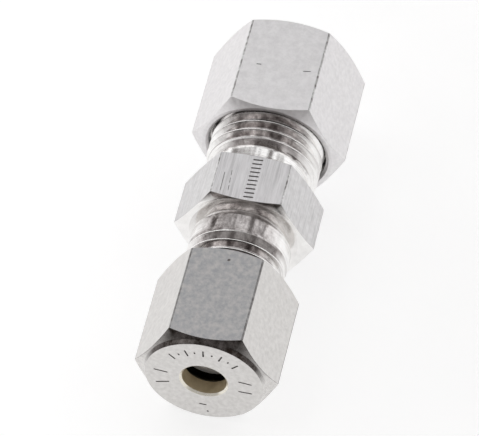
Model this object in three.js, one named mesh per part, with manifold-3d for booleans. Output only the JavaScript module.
// A straight reducing tube union with cutting rings, in stainless steel, for 6 mm and 8 mm tube.
// A hexagonal middle body carries a threaded stud at each end. A union nut screws onto each stud,
// and a loose cutting ring lies inside each nut, between the nut's cone and the stud's cone.
//
// Millimetres. +X runs along the tube axis from the small end to the large end and +Z is up.
// The origin is on the axis, halfway along the assembled length.

import * as THREE from "three";
import { mergeVertices } from "three/addons/utils/BufferGeometryUtils.js";
import Module from "manifold-3d";

const wasm = await Module();
wasm.setup();
const { Manifold, Mesh: SolidMesh } = wasm;

// ---------- driving dimensions ----------

const SEGMENTS = 36; // facets round every turned surface and every turn of thread
const PITCH = 1.5;
const CONE_SLOPE = Math.tan(THREE.MathUtils.degToRad(12)); // half of the 24 degree cone
const CHAMFER_SLOPE = Math.tan(THREE.MathUtils.degToRad(30)); // nut chamfer, from the end face
const PAST = 1.0; // how far a cutting shape reaches past the surface that it cuts
const SLIGHT = 0.1; // a small overlap or clearance, where two turned shapes meet

const STUD_LENGTH = 12.0;
const TUBE_DEPTH = 7.0; // from a stud's end to the step that stops the tube
const CONE_MOUTH_RISE = 1.0; // radius of the stud cone's mouth, above the tube's

// The middle hexagon. The turn about the axis, in degrees, is how the wrench left it.
const hexagon = {
  across: 17.0,
  smallFace: { x: -3.76, radius: 8.45 },
  largeFace: { x: 4.14, radius: 8.1 },
  chamferSlope: Math.tan(THREE.MathUtils.degToRad(18)),
  turn: 2.0,
};

// The two ends. "out" points away from the body along X, and distances run that way from the
// hexagon. core is the stud's turned shape under and beside its thread, as [distance, radius].
// A nut edge is the radius of the flat end face. A shoulder, as [depth, radius], joins it to the
// chamfer, and without one the chamfer starts at the face.
const smallEnd = {
  out: -1,
  hexFace: hexagon.smallFace.x,
  studRadius: 7.0,
  tubeRadius: 3.05,
  boreRadius: 2.0,
  core: [[0, 6.0], [1.3, 6.0], [1.3, 6.99], [4.13, 6.99], [5.2, 6.05]],
  threadStart: [[4.0, 6.9], [4.1, 7.0]],
  crestX: -9.815,
  nut: { across: 17.0, outerFace: -28.24, length: 16.0, turn: 0 },
  nutOuterEdge: { radius: 8.05, shoulder: [0.68, 8.25] },
  nutInnerEdge: { radius: 8.2 },
};

const largeEnd = {
  out: 1,
  hexFace: hexagon.largeFace.x,
  studRadius: 8.0,
  tubeRadius: 4.05,
  boreRadius: 2.5,
  core: [[0, 6.85], [3.1, 6.85]],
  threadStart: [[3.0, 6.85], [3.63, 8.0]],
  crestX: 8.855,
  nut: { across: 19.0, outerFace: 28.24, length: 16.5, turn: 1.4 },
  nutOuterEdge: { radius: 8.72 },
  nutInnerEdge: { radius: 9.24 },
};

// ISO metric thread. Drops are below the stud's outside radius, and the nut's thread follows the
// stud's with a gap on both flanks.
const thread = {
  crestDrop: 0.08,
  rootDrop: 0.92,
  crestHalfWidth: 0.08,
  nutRootRise: 0.15,
  nutCrestDrop: 0.75,
  flankGap: 0.1,
  tipChamfer: 0.9,
};

// Inside a nut, as distances from its outer face. A "rise" is above the tube or stud radius.
const nutInside = {
  entryRise: 0.29,
  entryDepth: 0.25,
  seatStart: 2.2,
  cavityRise: 2.25,
  cavityEnd: 5.8,
  reliefStart: 6.5,
  reliefEnd: 7.5,
  reliefRise: 0.2,
  mouthDepth: 1.5,
  mouthRise: 0.35,
  mouthChamfer: 0.4,
  mouthRun: 0.9, // length of the slope from the mouth down to the thread's crests
};

// A cutting ring, as distances from its back face. A "rise" is above the tube radius.
const ring = {
  length: 9.5,
  depthInNut: 4.2,
  collarRise: 1.45,
  collarEnd: 4.6,
  backChamfer: 0.5,
  coneStart: 4.9,
  frontRise: 0.15,
  edgeLength: 0.9, // land of each cutting edge, inside the front end
  grooveLength: 1.3, // relief between the two cutting edges
  grooveDepth: 0.1,
};

// ---------- turning closed surfaces into solids and back ----------

/** A solid from a closed three.js geometry. */
function solid(geometry) {
  const bare = geometry.index ? geometry.toNonIndexed() : geometry.clone();
  bare.deleteAttribute("normal");
  bare.deleteAttribute("uv");
  const merged = mergeVertices(bare, 1e-5);
  const triangles = [];
  const index = merged.index.array;
  for (let i = 0; i < index.length; i += 3) {
    const [a, b, c] = [index[i], index[i + 1], index[i + 2]];
    if (a !== b && b !== c && c !== a) triangles.push(a, b, c);
  }
  const mesh = new SolidMesh({
    numProp: 3,
    vertProperties: new Float32Array(merged.attributes.position.array),
    triVerts: new Uint32Array(triangles),
  });
  return new Manifold(mesh);
}

/** A three.js geometry from a solid. */
function geometryOf(shape) {
  const mesh = shape.getMesh();
  const geometry = new THREE.BufferGeometry();
  const positions = new Float32Array(mesh.vertProperties);
  geometry.setAttribute("position", new THREE.BufferAttribute(positions, 3));
  geometry.setIndex(new THREE.BufferAttribute(new Uint32Array(mesh.triVerts), 1));
  geometry.computeVertexNormals();
  return geometry;
}

/**
 * A turned solid about the X axis. The profile is a list of [x, radius], and it is closed back to
 * its first point, or along the axis where it starts and ends there.
 */
function turned(profile) {
  const points = profile.map(([x, radius]) => new THREE.Vector2(radius, x));
  const onAxis = points[0].x === 0 && points[points.length - 1].x === 0;
  if (!onAxis) points.push(points[0].clone());
  if (THREE.ShapeUtils.area(points) < 0) points.reverse();
  const geometry = new THREE.LatheGeometry(points, SEGMENTS);
  geometry.rotateZ(-Math.PI / 2);
  return solid(geometry);
}

/** A hexagonal bar along X from x0 to x1, with two flats level, then turned about X in degrees. */
function hexagonBar(across, x0, x1, turnDegrees) {
  const bar = new THREE.CylinderGeometry(across / Math.sqrt(3), across / Math.sqrt(3), x1 - x0, 6);
  bar.rotateZ(-Math.PI / 2);
  bar.translate((x0 + x1) / 2, 0, 0);
  bar.rotateX(Math.PI / 2 + THREE.MathUtils.degToRad(turnDegrees));
  return solid(bar);
}

/**
 * A solid screw about the X axis. One pitch of its outline is a list of [offset, radius] with the
 * offset along X from a crest, and the crest is at crestAt on the +Y side. The screw reaches past
 * x0 and x1, so that a turned envelope can cut its ends.
 */
function screw(outline, crestAt, x0, x1) {
  const firstTurn = Math.floor((x0 - crestAt) / PITCH) - 2;
  const lastTurn = Math.ceil((x1 - crestAt) / PITCH) + 2;
  const rows = [];
  for (let turn = firstTurn; turn <= lastTurn; turn += 1) {
    for (const [offset, radius] of outline) rows.push([crestAt + turn * PITCH + offset, radius]);
  }
  const perTurn = outline.length;
  const lastRow = rows.length - perTurn - 1;
  const positions = [];
  const index = [];
  for (const [x, radius] of rows) {
    for (let i = 0; i < SEGMENTS; i += 1) {
      const angle = (i / SEGMENTS) * 2 * Math.PI;
      positions.push(x + (i / SEGMENTS) * PITCH, radius * Math.cos(angle), radius * Math.sin(angle));
    }
  }
  // After one full turn, a row meets the row that lies one pitch further on.
  const vertex = (row, i) => (i === SEGMENTS ? (row + perTurn) * SEGMENTS : row * SEGMENTS + i);
  for (let row = 0; row < lastRow; row += 1) {
    for (let i = 0; i < SEGMENTS; i += 1) {
      const [a, b] = [vertex(row, i), vertex(row, i + 1)];
      const [c, d] = [vertex(row + 1, i), vertex(row + 1, i + 1)];
      index.push(a, b, d, a, d, c);
    }
  }
  // The two ends close on points of the axis, well outside the part that is used.
  const tips = [rows[0][0] - PITCH, rows[lastRow][0] + 2 * PITCH];
  const tipIndex = positions.length / 3;
  for (const x of tips) positions.push(x, 0, 0);
  for (let i = 0; i < SEGMENTS; i += 1) {
    index.push(tipIndex, vertex(0, i + 1), vertex(0, i));
    index.push(tipIndex + 1, vertex(lastRow, i), vertex(lastRow, i + 1));
  }
  for (let row = 0; row < perTurn; row += 1) {
    index.push(tipIndex, vertex(row, 0), vertex(row + 1, 0));
    index.push(tipIndex + 1, vertex(lastRow + row + 1, 0), vertex(lastRow + row, 0));
  }
  const geometry = new THREE.BufferGeometry();
  geometry.setAttribute("position", new THREE.Float32BufferAttribute(positions, 3));
  geometry.setIndex(index);
  return solid(geometry);
}

/** The axial half width that a 60 degree thread flank gains over a radial distance. */
function flank(radialDistance) {
  return radialDistance * Math.tan(Math.PI / 6);
}

/** One pitch of a thread outline, from its crest's near edge to its root's far edge. */
function threadOutline(crestRadius, crestHalfWidth, rootRadius) {
  const rootStart = crestHalfWidth + flank(crestRadius - rootRadius);
  return [
    [-crestHalfWidth, crestRadius],
    [crestHalfWidth, crestRadius],
    [rootStart, rootRadius],
    [PITCH - rootStart, rootRadius],
  ];
}

// ---------- the sub-parts ----------

/** The profile points of one chamfered end of a hexagon, from the face towards the middle. */
function chamferedEnd(face, edge, inward, cornerRadius, slope) {
  const [depth, radius] = edge.shoulder ?? [0, edge.radius];
  const points = [[face, 0], [face, edge.radius]];
  if (edge.shoulder) points.push([face + inward * depth, radius]);
  points.push([face + inward * (depth + (cornerRadius - radius) * slope), cornerRadius]);
  return points;
}

/** A hexagonal bar with its corners turned off at both ends. The low end has the smaller x. */
function chamferedHexagon(across, turn, slope, low, high) {
  const cornerRadius = across / Math.sqrt(3) + SLIGHT;
  const lowEnd = chamferedEnd(low.x, low.edge, 1, cornerRadius, slope);
  const highEnd = chamferedEnd(high.x, high.edge, -1, cornerRadius, slope);
  const envelope = turned([...lowEnd, ...highEnd.reverse()]);
  return hexagonBar(across, low.x - PAST, high.x + PAST, turn).intersect(envelope);
}

/** One end's stud, with its thread, reaching a little way into the hexagon. */
function stud(end) {
  const place = ([distance, radius]) => [end.hexFace + end.out * distance, radius];
  const rootRadius = end.studRadius - thread.rootDrop;
  const outline = threadOutline(end.studRadius - thread.crestDrop, thread.crestHalfWidth, rootRadius);
  const core = turned([
    [-PAST, 0],
    [-PAST, end.core[0][1]],
    ...end.core.slice(1),
    [end.core[end.core.length - 1][0], 0],
  ].map(place));
  const envelope = turned([
    [end.threadStart[0][0], 0],
    ...end.threadStart,
    [STUD_LENGTH - thread.tipChamfer, end.studRadius],
    [STUD_LENGTH, rootRadius - SLIGHT],
    [STUD_LENGTH, 0],
  ].map(place));
  const tipX = end.hexFace + end.out * STUD_LENGTH;
  const threaded = screw(outline, end.crestX, Math.min(end.hexFace, tipX), Math.max(end.hexFace, tipX));
  return core.add(threaded.intersect(envelope));
}

/** What is bored out of one end: the 24 degree cone, the tube socket and the through bore. */
function drilled(end) {
  const place = ([depth, radius]) => [end.hexFace + end.out * (STUD_LENGTH - depth), radius];
  const mouthRadius = end.tubeRadius + CONE_MOUTH_RISE;
  const middle = STUD_LENGTH + Math.abs(end.hexFace) + SLIGHT;
  return turned([
    [-PAST, 0],
    [-PAST, mouthRadius + PAST * CONE_SLOPE],
    [(mouthRadius - end.tubeRadius) / CONE_SLOPE, end.tubeRadius],
    [TUBE_DEPTH, end.tubeRadius],
    [TUBE_DEPTH, end.boreRadius],
    [middle, end.boreRadius],
    [middle, 0],
  ].map(place));
}

function unionBody() {
  const low = { x: hexagon.smallFace.x, edge: { radius: hexagon.smallFace.radius } };
  const high = { x: hexagon.largeFace.x, edge: { radius: hexagon.largeFace.radius } };
  const block = chamferedHexagon(hexagon.across, hexagon.turn, hexagon.chamferSlope, low, high);
  return block
    .add(stud(smallEnd))
    .add(stud(largeEnd))
    .subtract(drilled(smallEnd))
    .subtract(drilled(largeEnd));
}

/** The thread that is cut in an end's nut. It follows the stud's thread at rest. */
function nutThread(end) {
  const { outerFace, length } = end.nut;
  const place = ([depth, radius]) => [outerFace - end.out * depth, radius];
  const studCrest = end.studRadius - thread.crestDrop;
  const cutCrest = end.studRadius + thread.nutRootRise;
  const widthAtStudCrest = thread.crestHalfWidth + thread.flankGap;
  const crestHalfWidth = widthAtStudCrest - flank(cutCrest - studCrest);
  const outline = threadOutline(cutCrest, crestHalfWidth, end.studRadius - thread.nutCrestDrop);
  const start = nutInside.reliefStart;
  const stop = length - nutInside.mouthDepth + SLIGHT;
  const outside = cutCrest + PAST;
  const envelope = turned([[start, 0], [start, outside], [stop, outside], [stop, 0]].map(place));
  const [xa, xb] = [place([start, 0])[0], place([stop, 0])[0]];
  return screw(outline, end.crestX, Math.min(xa, xb), Math.max(xa, xb)).intersect(envelope);
}

function nut(end) {
  const { across, outerFace, length, turn } = end.nut;
  const innerFace = outerFace - end.out * length;
  const outer = { x: outerFace, edge: end.nutOuterEdge };
  const inner = { x: innerFace, edge: end.nutInnerEdge };
  const [low, high] = end.out < 0 ? [outer, inner] : [inner, outer];
  const blank = chamferedHexagon(across, turn, CHAMFER_SLOPE, low, high);
  const place = ([depth, radius]) => [outerFace - end.out * depth, radius];
  const tube = end.tubeRadius;
  const inside = nutInside;
  const front = turned([
    [-PAST, 0],
    [-PAST, tube + inside.entryRise],
    [0, tube + inside.entryRise],
    [inside.entryDepth, tube],
    [inside.seatStart, tube],
    [inside.seatStart + inside.cavityRise, tube + inside.cavityRise],
    [inside.cavityEnd, tube + inside.cavityRise],
    [inside.reliefStart, end.studRadius + inside.reliefRise],
    [inside.reliefEnd, end.studRadius + inside.reliefRise],
    [inside.reliefEnd, 0],
  ].map(place));
  const mouthStart = length - inside.mouthDepth;
  const mouthRadius = end.studRadius + inside.mouthRise;
  const mouth = turned([
    [mouthStart - inside.mouthRun, 0],
    [mouthStart - inside.mouthRun, end.studRadius - thread.nutCrestDrop],
    [mouthStart, mouthRadius],
    [length - inside.mouthChamfer, mouthRadius],
    [length + PAST, mouthRadius + inside.mouthChamfer + PAST],
    [length + PAST, 0],
  ].map(place));
  return blank.subtract(front).subtract(nutThread(end)).subtract(mouth);
}

function cuttingRing(end) {
  const backFace = end.nut.outerFace - end.out * ring.depthInNut;
  const place = ([distance, rise]) => [backFace - end.out * distance, end.tubeRadius + rise];
  const grooveEnd = ring.length - ring.edgeLength;
  const grooveStart = grooveEnd - ring.grooveLength;
  return turned([
    [0, 0],
    [0, ring.collarRise - ring.backChamfer],
    [ring.backChamfer, ring.collarRise],
    [ring.collarEnd, ring.collarRise],
    [ring.coneStart, ring.frontRise + (ring.length - ring.coneStart) * CONE_SLOPE],
    [ring.length, ring.frontRise],
    [ring.length, 0],
    [grooveEnd, 0],
    [grooveEnd, ring.grooveDepth],
    [grooveStart, ring.grooveDepth],
    [grooveStart, 0],
  ].map(place));
}

// ---------- the assembly ----------

const steel = (color, roughness) => new THREE.MeshStandardMaterial({ color, roughness, metalness: 1 });

const pieces = [
  { name: "union_body", shape: unionBody(), material: steel(0xc8c6c8, 0.28) },
  { name: "small_nut", shape: nut(smallEnd), material: steel(0xa8a3a2, 0.48) },
  { name: "large_nut", shape: nut(largeEnd), material: steel(0xcdcbcc, 0.4) },
  { name: "small_cutting_ring", shape: cuttingRing(smallEnd), material: steel(0xb9b6b2, 0.3) },
  { name: "large_cutting_ring", shape: cuttingRing(largeEnd), material: steel(0xb9b6b2, 0.3) },
];

const fitting = new THREE.Group();
for (const { name, shape, material } of pieces) {
  const mesh = new THREE.Mesh(geometryOf(shape), material);
  mesh.name = name;
  fitting.add(mesh);
}

export default fitting;
